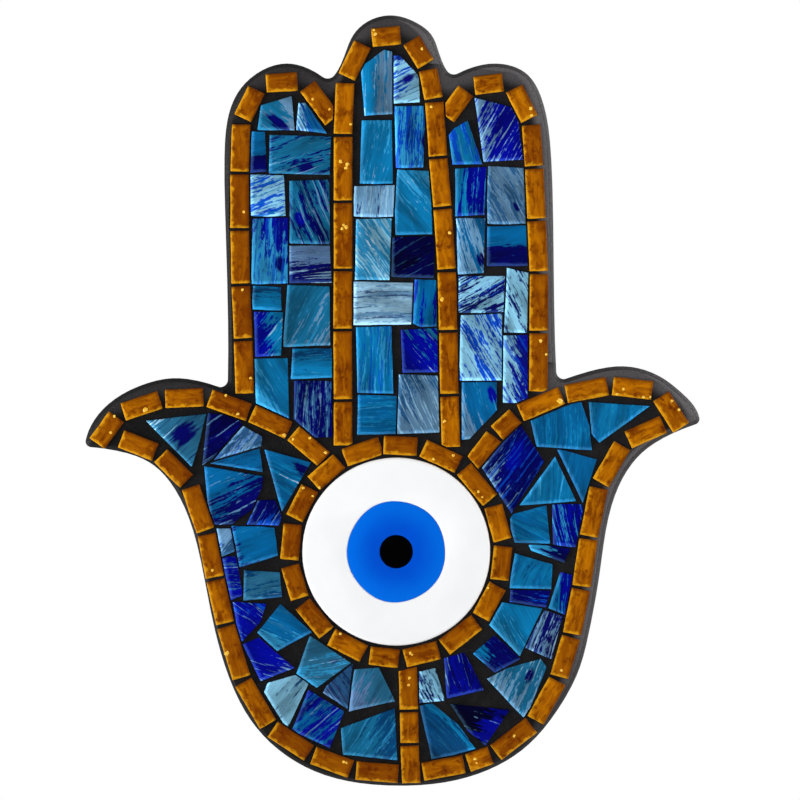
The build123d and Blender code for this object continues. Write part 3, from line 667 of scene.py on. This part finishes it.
def streaky_glass(name, specular, roughness):
    """Poured art glass: a ground with a veil dragged over it, fine threads, a blot, painted light at its lit edges and
    a faint ripple.
    """
    finish, tree, shader = start_finish(name)
    straight = uv_place(tree, "streak")
    ground, veil, thread, blot = (
        put(tree, "ShaderNodeAttribute", attribute_name=part) for part in ("ground", "veil", "thread", "blot")
    )
    fall, spun = (put(tree, "ShaderNodeAttribute", attribute_name=part).outputs["Fac"] for part in ("fall", "spun"))
    # The pour sways a little as it runs
    sway = centred(tree, drawn_cloud(tree, straight, (0.09, 0.16, 1), detail=1.0, roughness=0.5), SWAY_GAIN)
    aside = put(tree, "ShaderNodeCombineXYZ", {"Y": sway}).outputs["Vector"]
    streak = put(tree, "ShaderNodeVectorMath", {0: straight, 1: aside}, operation="ADD").outputs["Vector"]
    drag = drawn_cloud(tree, streak, (0.06, 0.55, 1), detail=5.0, roughness=0.62)
    wisps = drawn_cloud(tree, streak, (0.1, 2.1, 1))
    spinning = drawn_cloud(tree, streak, (0.05, 1.4, 1), roughness=0.55)
    broad = drawn_cloud(tree, streak, (0.05, 0.2, 1), roughness=0.55)
    grain = drawn_cloud(tree, straight, (0.6, 1.5, 1))
    torn = centred(tree, grain, GRAIN_GAIN)
    # The veil lies where its side, its share and the drag of the pour add up
    feathers = math_node(tree, "ADD", centred(tree, drag, DRAG_GAIN), centred(tree, wisps, WISP_GAIN))
    feathers = math_node(tree, "ADD", feathers, torn)
    covered = band(tree, math_node(tree, "ADD", fall, feathers), -0.35, 0.35)
    color = mix(tree, covered, ground.outputs["Color"], veil.outputs["Color"])
    # A blot is a ragged drop of another glass
    offset = uv_place(tree, "blot_place")
    away = put(tree, "ShaderNodeVectorMath", {0: offset}, operation="LENGTH").outputs["Value"]
    ragged = math_node(tree, "MULTIPLY_ADD", feathers, 0.26, away)
    drop = math_node(tree, "MULTIPLY", band(tree, ragged, 1.15, 0.65), blot.outputs["Alpha"])
    color = mix(tree, drop, color, blot.outputs["Color"])
    # Threads are drawn out much longer and finer than the veil
    spread = math_node(tree, "ADD", centred(tree, spinning, SPIN_GAIN), torn)
    drawn = band(tree, math_node(tree, "ADD", spun, spread), -0.3, 0.5, to_high=0.7)
    color = mix(tree, drawn, color, thread.outputs["Color"])
    # The whole is lighter and darker in broad streaks and in wisps
    tone = band(tree, broad, 0.26, 0.74, to_low=0.5, to_high=1.45)
    tone = math_node(tree, "MULTIPLY", tone, band(tree, wisps, 0.25, 0.75, to_low=0.84, to_high=1.16))
    shaded = put(tree, "ShaderNodeVectorMath", {0: color, "Scale": tone}, operation="SCALE").outputs["Vector"]
    # Painted light: the colour is lightened along the two near edges, unevenly, where light comes out of the glass
    uneven = ragged_edge(tree, parted(tree, uv_place(tree, "near_edges")), grain, BLUE_RAGGED)
    gathered = {0: shaded, 1: PAINTED_LIGHT_GAIN, 2: PAINTED_LIGHT_TINT}
    gathered = put(tree, "ShaderNodeVectorMath", gathered, operation="MULTIPLY_ADD").outputs["Vector"]
    lit = mix(tree, band(tree, uneven, 1.1, 0.3), shaded, gathered, "ADD")
    tree.links.new(lit, shader.inputs["Base Color"])
    gloss = band(tree, wisps, 0.3, 0.7, roughness - 0.06, roughness + 0.08)
    tree.links.new(gloss, shader.inputs["Roughness"])
    shader.inputs["Specular IOR Level"].default_value = specular
    bump(tree, shader, drag, RIPPLE_DEPTH)
    return finish


def amber_glass(name):
    """Gold strip: amber glass in strands along its run, with a few brown stains, painted light at two edges and
    painted shade at the other two.
    """
    finish, tree, shader = start_finish(name)
    place = object_place(tree)
    tone = put(tree, "ShaderNodeAttribute", attribute_name="tone").outputs["Fac"]
    near = parted(tree, uv_place(tree, "near_edges"))
    far = parted(tree, uv_place(tree, "far_edges"))
    clouds = cloud(tree, place, 240.0, roughness=0.55)
    spots = cloud(tree, place, 620.0, roughness=0.55)
    # Strands run along each strip, and its tone keeps them apart from its neighbours'
    run = {"X": near["X"], "Y": near["Y"], "Z": math_node(tree, "MULTIPLY", tone, TONE_STEP)}
    run = put(tree, "ShaderNodeCombineXYZ", run).outputs["Vector"]
    strands = drawn_cloud(tree, run, (0.22, 0.7, 1), detail=4.0, distortion=0.8)
    color = mix(tree, band(tree, clouds, 0.34, 0.64), shown(AMBER_DEEP), shown(AMBER))
    color = mix(tree, band(tree, strands, 0.4, 0.66, to_high=0.8), color, shown(AMBER_STRAND))
    # Tone, partly painted shade across the hand, darkens a tile towards brown
    color = mix(tree, band(tree, tone, 0.0, 1.0, to_low=0.05, to_high=0.75), color, shown(AMBER_BROWN))
    stain = math_node(tree, "MULTIPLY", band(tree, spots, 0.52, 0.68), band(tree, clouds, 0.54, 0.42, to_high=0.65))
    color = mix(tree, stain, color, shown(AMBER_STAIN))
    # Painted light along the two near edges, unevenly, where light comes out of the glass, and painted shade along the
    # two far ones
    uneven = ragged_edge(tree, near, spots, AMBER_RAGGED)
    color = mix(tree, band(tree, uneven, 1.0, 0.1, to_high=0.75), color, shown(AMBER_PAINTED_LIGHT))
    far_shade = math_node(tree, "MINIMUM", far["X"], far["Y"])
    color = mix(tree, band(tree, far_shade, 1.2, 0.0, to_high=0.7), color, shown(AMBER_PAINTED_SHADE))
    tree.links.new(color, shader.inputs["Base Color"])
    tree.links.new(band(tree, strands, 0.3, 0.7, to_low=0.2, to_high=0.4), shader.inputs["Roughness"])
    shader.inputs["Specular IOR Level"].default_value = 0.03
    bump(tree, shader, strands, STRAND_DEPTH)
    return finish


def painted_glint_glass(name):
    """Painted glint: the bright yellow of a seed lit inside the amber."""
    finish, tree, shader = start_finish(name)
    sparkle = cloud(tree, object_place(tree), 2500.0)
    color = mix(tree, band(tree, sparkle, 0.35, 0.65), shown(GLINT_DEEP), shown(GLINT_LIGHT))
    tree.links.new(color, shader.inputs["Base Color"])
    shader.inputs["Roughness"].default_value = 0.2
    return finish


def outer_reach(along, across):
    """Furthest reach of the board's outline across, at even steps along it, and the box that both lie in."""
    mesh = nodes["backing_board"].data
    low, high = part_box("backing_board")
    ends = [[mesh.vertices[v].co.copy() for v in edge.vertices] for edge in mesh.edges]
    reach = []
    for step in range(OUTLINE_STEPS + 1):
        share = min(max(step / OUTLINE_STEPS, OUTLINE_MARGIN), 1 - OUTLINE_MARGIN)
        level = low[along] + (high[along] - low[along]) * share
        crossed = [(a, b) for a, b in ends if min(a[along], b[along]) < level < max(a[along], b[along])]
        reach.append(max(
            a[across] + (level - a[along]) / (b[along] - a[along]) * (b[across] - a[across]) for a, b in crossed
        ))
    return reach, low, high


def inside_edge(tree, place, along, across):
    """How far a place lies inside the board's outline, measured straight across."""
    reach, low, high = outer_reach(along, across)
    parts = parted(tree, place)
    span = {"Value": parts[along], "From Min": low[along], "From Max": high[along]}
    follow = put(tree, "ShaderNodeFloatCurve", {"Value": put(tree, "ShaderNodeMapRange", span).outputs["Result"]})
    points = follow.mapping.curves[0].points
    shares = [(edge - low[across]) / (high[across] - low[across]) for edge in reach]
    points[0].location = (0, shares[0])
    points[1].location = (1, shares[-1])
    for step, share in enumerate(shares[1:-1], 1):
        points.new(step / OUTLINE_STEPS, share)
    for point in points:
        point.handle_type = "VECTOR"
    follow.mapping.update()
    back = {"Value": follow.outputs["Value"], "To Min": low[across], "To Max": high[across]}
    edge = put(tree, "ShaderNodeMapRange", back).outputs["Result"]
    return math_node(tree, "SUBTRACT", edge, parts[across])


def painted_rim_light(tree, place):
    """Where light is painted on the grout: along its right and upper outline and in the valleys."""
    parts = parted(tree, place)
    right = band(tree, inside_edge(tree, place, 2, 0), *PAINTED_LIGHT_RIGHT)
    right = math_node(tree, "MULTIPLY", right, band(tree, parts["Z"], *PAINTED_LIGHT_HEIGHTS, to_low=0.05))
    upper = band(tree, inside_edge(tree, place, 0, 2), *PAINTED_LIGHT_UPPER)
    upper = math_node(tree, "MULTIPLY", upper, band(tree, parts["X"], *PAINTED_LIGHT_ACROSS, to_low=0.2, to_high=0.7))
    painted_light = math_node(tree, "MAXIMUM", right, upper)
    for across, height in VALLEYS:
        away = distance(tree, place, (across * MM, GROUT_FACE, FOOT + height * MM))
        painted_light = math_node(tree, "MAXIMUM", painted_light, band(tree, away, *PAINTED_LIGHT_VALLEY, to_high=0.6))
    return painted_light


def cement_grout(name):
    """Near-black gritty grout, painted paler towards the right and with painted light along its right and upper
    outline, rubbed smooth at its rim.
    """
    finish, tree, shader = start_finish(name)
    place = object_place(tree)
    grit = cloud(tree, place, 1900.0, detail=3.0, roughness=0.7)
    smears = cloud(tree, place, 190.0, detail=3.0, roughness=0.6)
    # Painted light: the grout is paler towards the right, as lit from that side
    lit_and_smeared = math_node(tree, "MULTIPLY_ADD", parted(tree, place)["X"], PAINTED_LIGHT_SLOPE, smears)
    color = mix(tree, band(tree, lit_and_smeared, 0.3, 0.8), shown(GROUT_DARK), shown(GROUT_LIGHT))
    rim = put(tree, "ShaderNodeAttribute", attribute_name="rim").outputs["Fac"]
    # Painted light, a pale cover along the right and upper outline, kept thinner on the rim
    film = math_node(tree, "MULTIPLY", painted_rim_light(tree, place), band(tree, rim, 0.0, 1.0, to_low=0.9, to_high=0.28))
    color = mix(tree, film, color, shown(GROUT_PAINTED_LIGHT))
    color = mix(tree, band(tree, grit, 0.6, 0.74, to_high=0.4), color, shown(GRIT_LIGHT))
    color = mix(tree, band(tree, grit, 0.4, 0.28, to_high=0.7), color, shown(GRIT_DARK))
    tree.links.new(color, shader.inputs["Base Color"])
    tree.links.new(band(tree, rim, 0.0, 1.0, to_low=0.85, to_high=0.45), shader.inputs["Roughness"])
    shader.inputs["Specular IOR Level"].default_value = 0.15
    bump(tree, shader, grit, GRIT_DEPTH)
    return finish


def brushed_paint(name):
    """Black paint with faint brush marks and a little wear."""
    finish, tree, shader = start_finish(name)
    place = object_place(tree)
    strokes = drawn_cloud(tree, place, (60, 900, 900))
    wear = cloud(tree, place, 120.0, detail=4.0, roughness=0.65)
    color = mix(tree, band(tree, strokes, 0.35, 0.65), shown(PAINT_DARK), shown(PAINT_LIGHT))
    color = mix(tree, band(tree, wear, 0.62, 0.76, to_high=0.5), color, shown(PAINT_WORN))
    tree.links.new(color, shader.inputs["Base Color"])
    tree.links.new(band(tree, wear, 0.3, 0.7, to_low=0.45, to_high=0.65), shader.inputs["Roughness"])
    shader.inputs["Specular IOR Level"].default_value = 0.3
    bump(tree, shader, strokes, BRUSH_DEPTH)
    return finish


def glaze(name, colors, roughness, specular, centre=None, reach=0.0):
    """Poured glaze that is a little uneven in colour, or deep at its centre and lighter out to its reach."""
    finish, tree, shader = start_finish(name)
    place = object_place(tree)
    pooled = cloud(tree, place, 140.0)
    share = band(tree, pooled, 0.3, 0.7)
    if centre:
        uneven = math_node(tree, "MULTIPLY_ADD", pooled, 0.2 * reach, distance(tree, place, centre))
        share = band(tree, uneven, 0.5 * reach, 1.1 * reach)
    color = mix(tree, share, *map(shown, colors))
    tree.links.new(color, shader.inputs["Base Color"])
    tree.links.new(band(tree, pooled, 0.3, 0.7, roughness, roughness + 0.08), shader.inputs["Roughness"])
    shader.inputs["Specular IOR Level"].default_value = specular
    bump(tree, shader, pooled, GLAZE_DEPTH)
    return finish


def plated_steel(name):
    """Nickel plate with fine drawing marks."""
    finish, tree, shader = start_finish(name)
    place = object_place(tree)
    marks = drawn_cloud(tree, place, (300, 2600, 2600))
    dull = cloud(tree, place, 300.0, detail=3.0)
    color = mix(tree, band(tree, dull, 0.35, 0.7), shown(NICKEL), shown(NICKEL_DULL))
    tree.links.new(color, shader.inputs["Base Color"])
    shader.inputs["Metallic"].default_value = 1.0
    tree.links.new(band(tree, marks, 0.3, 0.7, to_low=0.24, to_high=0.42), shader.inputs["Roughness"])
    bump(tree, shader, marks, PLATE_DEPTH)
    return finish


iris_low, iris_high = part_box("eye_iris")
EYE_CENTRE = Vector(((iris_low.x + iris_high.x) / 2, iris_low.y, (iris_low.z + iris_high.z) / 2))
IRIS_REACH = (iris_high.x - iris_low.x) / 2
FINISHES = {
    "black_paint": brushed_paint("black_paint"),
    "grout": cement_grout("grout"),
    "eye_white": glaze("eye_white", EYE_WHITES, roughness=0.2, specular=0.05),
    "eye_blue": glaze("eye_blue", EYE_BLUES, roughness=0.2, specular=0.03, centre=EYE_CENTRE, reach=IRIS_REACH),
    "eye_black": glaze("eye_black", EYE_BLACKS, roughness=0.2, specular=0.01),
    "steel": plated_steel("steel"),
    "gold_glass": amber_glass("gold_glass"),
    "turquoise_glass": streaky_glass("turquoise_glass", specular=0.06, roughness=0.2),
    "cobalt_glass": streaky_glass("cobalt_glass", specular=0.04, roughness=0.2),
    "ice_glass": streaky_glass("ice_glass", specular=0.08, roughness=0.22),
    "mist_glass": streaky_glass("mist_glass", specular=0.06, roughness=0.22),
    "midnight_glass": streaky_glass("midnight_glass", specular=0.04, roughness=0.2),
    "two_tone_glass": streaky_glass("two_tone_glass", specular=0.05, roughness=0.2),
    "teal_glass": streaky_glass("teal_glass", specular=0.06, roughness=0.2),
}
SEED_GLINT_FINISH = painted_glint_glass("amber_seed_glint")


def slot_of(node):
    """The record's material slot of a node."""
    return next(part["material_slot"] for part in frame["record"]["subparts"] if part["node"] == node)


def seat(piece, node):
    """Let a finished piece stand for its CAD node."""
    slot = slot_of(node)
    piece.data.materials.clear()
    piece.data.materials.append(FINISHES[slot])
    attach(piece, "plaque")
    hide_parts(node)


def join_pieces(pieces, name):
    """Bring pieces together as one."""
    take_up(*pieces)
    if len(pieces) > 1:
        bpy.ops.object.join()
    piece = bpy.context.view_layer.objects.active
    piece.name = name
    piece.data.name = name
    return piece


def set_tiles(node, first):
    """Dress one node's tiles, numbered from the first, and give how many there are."""
    piece = copy_node(node, node + "_tiles")
    waver_sides(piece)
    round_edges(piece, TILE_EDGE, TILE_SEGMENTS)
    tiles = split_tiles(piece)
    if node in SHEETS:
        assert len(tiles) == len(SHEETS[node]), (node, len(tiles))
        for k, (tile, glass) in enumerate(zip(tiles, SHEETS[node])):
            pour(tile, glass, first + k)
    else:
        for k, tile in enumerate(tiles):
            gild(tile, first + k, TONES.get((node, k)))
    seat(join_pieces(tiles, node + "_tiles"), node)
    return len(tiles)


def set_seeds():
    """Strew the seeds over the amber: one uneven low dome, turned and copied to each place."""
    bpy.ops.object.select_all(action="DESELECT")
    bpy.ops.mesh.primitive_ico_sphere_add(subdivisions=SEED_DETAIL, radius=SEED_RADIUS)
    dome = bpy.context.object
    bpy.ops.object.mode_set(mode="EDIT")
    bpy.ops.mesh.select_all(action="SELECT")
    bpy.ops.mesh.bisect(plane_co=(0, SEED_CUT * SEED_RADIUS, 0), plane_no=(0, 1, 0), use_fill=True, clear_outer=True)
    bpy.ops.mesh.select_all(action="SELECT")
    bpy.ops.transform.resize(value=(1, SEED_RISE, 1), center_override=(0, 0, 0))
    bpy.ops.object.mode_set(mode="OBJECT")
    for corner in dome.data.vertices:
        corner.co *= 1 + SEED_UNEVEN * noise.noise(corner.co / (SEED_PITCH * SEED_RADIUS))
    bpy.ops.object.shade_smooth_by_angle(angle=ROUND_SMOOTH)
    seeds = []
    for number, (across, height, size) in enumerate(SEEDS):
        seed = bpy.data.objects.new("seed", dome.data.copy())
        bpy.context.collection.objects.link(seed)
        spot = Matrix.Translation((across * MM, TILE_FACE, FOOT + height * MM))
        seed.data.transform(spot @ Matrix.Rotation(number, 4, "Y") @ Matrix.Scale(size, 4))
        seeds.append(seed)
    bpy.data.objects.remove(dome)
    piece = join_pieces(seeds, "gold_seeds")
    # The seeds' bright yellow is a painted glint
    piece.data.materials.append(SEED_GLINT_FINISH)
    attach(piece, "plaque")


def set_eye():
    """Round the eye's rim and inlay edges."""
    for node in ("eye_white", "eye_iris", "eye_pupil"):
        piece = copy_node(node, node + "_glazed")
        round_edges(piece, EYE_EDGE if node == "eye_white" else TILE_EDGE, EYE_SEGMENTS)
        seat(piece, node)


def set_grout():
    """Shade the grout's bevelled rim as a round one, and mark it as rubbed smooth."""
    piece = copy_node("grout", "grout_bed")
    take_up(piece)
    bpy.ops.object.shade_smooth_by_angle(angle=ROUND_SMOOTH)
    rim = piece.data.attributes.new("rim", "FLOAT", "FACE")
    steep, shallow = RIM_NORMALS
    for face, mark in zip(piece.data.polygons, rim.data):
        mark.value = 1.0 if steep < face.normal.y < shallow else 0.0
    seat(piece, "grout")


def finish_node(node):
    """Give a CAD node that shows its own finish."""
    slots = nodes[node].data.materials
    slots.clear()
    slots.append(FINISHES[slot_of(node)])


def pale_floor(name):
    """Pale floor that fades to the white of the background at its rim."""
    finish, tree, shader = start_finish(name)
    place = object_place(tree)
    middle = put(tree, "ShaderNodeVectorMath", {0: place, 1: (1, 1, 0)}, operation="MULTIPLY").outputs["Vector"]
    away = put(tree, "ShaderNodeVectorMath", {0: middle}, operation="LENGTH").outputs["Value"]
    mottle = cloud(tree, place, 40.0)
    color = mix(tree, band(tree, mottle, 0.3, 0.7), *((tone, tone, tone, 1) for tone in FLOOR_TONES))
    tree.links.new(color, shader.inputs["Base Color"])
    shader.inputs["Roughness"].default_value = 0.8
    white = put(tree, "ShaderNodeEmission", {"Color": (1, 1, 1, 1), "Strength": 1.0})
    clear = put(tree, "ShaderNodeBsdfTransparent")
    ray = put(tree, "ShaderNodeLightPath").outputs
    seen = math_node(tree, "MAXIMUM", ray["Is Camera Ray"], ray["Is Glossy Ray"])
    seen = math_node(tree, "MAXIMUM", seen, ray["Is Transmission Ray"])
    rim = put(tree, "ShaderNodeMixShader", {0: seen, 1: clear.outputs[0], 2: white.outputs[0]})
    fade = band(tree, away, *FLOOR_FADE)
    whole = put(tree, "ShaderNodeMixShader", {0: fade, 1: shader.outputs[0], 2: rim.outputs[0]})
    output = next(n for n in tree.nodes if n.bl_idname == "ShaderNodeOutputMaterial")
    tree.links.new(whole.outputs[0], output.inputs["Surface"])
    return finish


def set_floor():
    """A round floor below the hand."""
    bpy.ops.object.select_all(action="DESELECT")
    bpy.ops.mesh.primitive_circle_add(
        vertices=FLOOR_SIDES, radius=FLOOR_RADIUS, fill_type="NGON", location=(0, 0, FOOT - FLOOR_DROP),
    )
    floor = bpy.context.object
    floor.name = "floor"
    floor.data.materials.append(pale_floor("pale_floor"))


def set_world():
    """A background that is white to the eye and lights the hand less than that."""
    world = bpy.data.worlds.new("studio")
    bpy.context.scene.world = world
    world.use_nodes = True
    tree = world.node_tree
    tree.nodes.clear()
    ray = put(tree, "ShaderNodeLightPath").outputs
    seen = math_node(tree, "MAXIMUM", ray["Is Camera Ray"], ray["Is Transmission Ray"])
    level = put(tree, "ShaderNodeMapRange", {"Value": seen, "To Min": WORLD_LIGHT, "To Max": 1.0}).outputs["Result"]
    background = put(tree, "ShaderNodeBackground", {"Color": (1, 1, 1, 1), "Strength": level})
    put(tree, "ShaderNodeOutputWorld", {"Surface": background.outputs["Background"]})


def soft_lamp(name, place, size, power):
    """Square soft lamp that points at the middle of the hand."""
    lamp = bpy.data.lights.new(name, "AREA")
    lamp.size = size
    lamp.energy = power
    lamp_object = bpy.data.objects.new(name, lamp)
    lamp_object.location = place
    aim = Vector((0, 0, VIEW_Z)) - Vector(place)
    lamp_object.rotation_euler = aim.to_track_quat("-Z", "Y").to_euler()
    bpy.context.collection.objects.link(lamp_object)


def set_camera():
    """A camera square to the hand's face, as the photograph was taken."""
    camera = bpy.data.cameras.new("camera")
    camera.sensor_width = SENSOR
    camera.lens = SENSOR * (VIEW_DISTANCE + TILE_FACE) / VIEW_WIDTH
    camera_object = bpy.data.objects.new("camera", camera)
    camera_object.location = (VIEW_X, -VIEW_DISTANCE, VIEW_Z)
    camera_object.rotation_euler = (math.pi / 2, 0, 0)
    bpy.context.collection.objects.link(camera_object)
    bpy.context.scene.camera = camera_object


laid = 0
for tile_node in sorted(node for node in nodes if slot_of(node).endswith("_glass")):
    laid += set_tiles(tile_node, laid)
set_seeds()
set_eye()
set_grout()
for plain_node in ("backing_board", "hanger_strap", "hanger_ring", "hanger_screw"):
    finish_node(plain_node)

set_floor()
set_world()
for lamp_name, (lamp_place, lamp_size, lamp_power) in LAMPS.items():
    soft_lamp(lamp_name, lamp_place, lamp_size, lamp_power)
set_camera()
bpy.context.scene.view_settings.view_transform = "Standard"
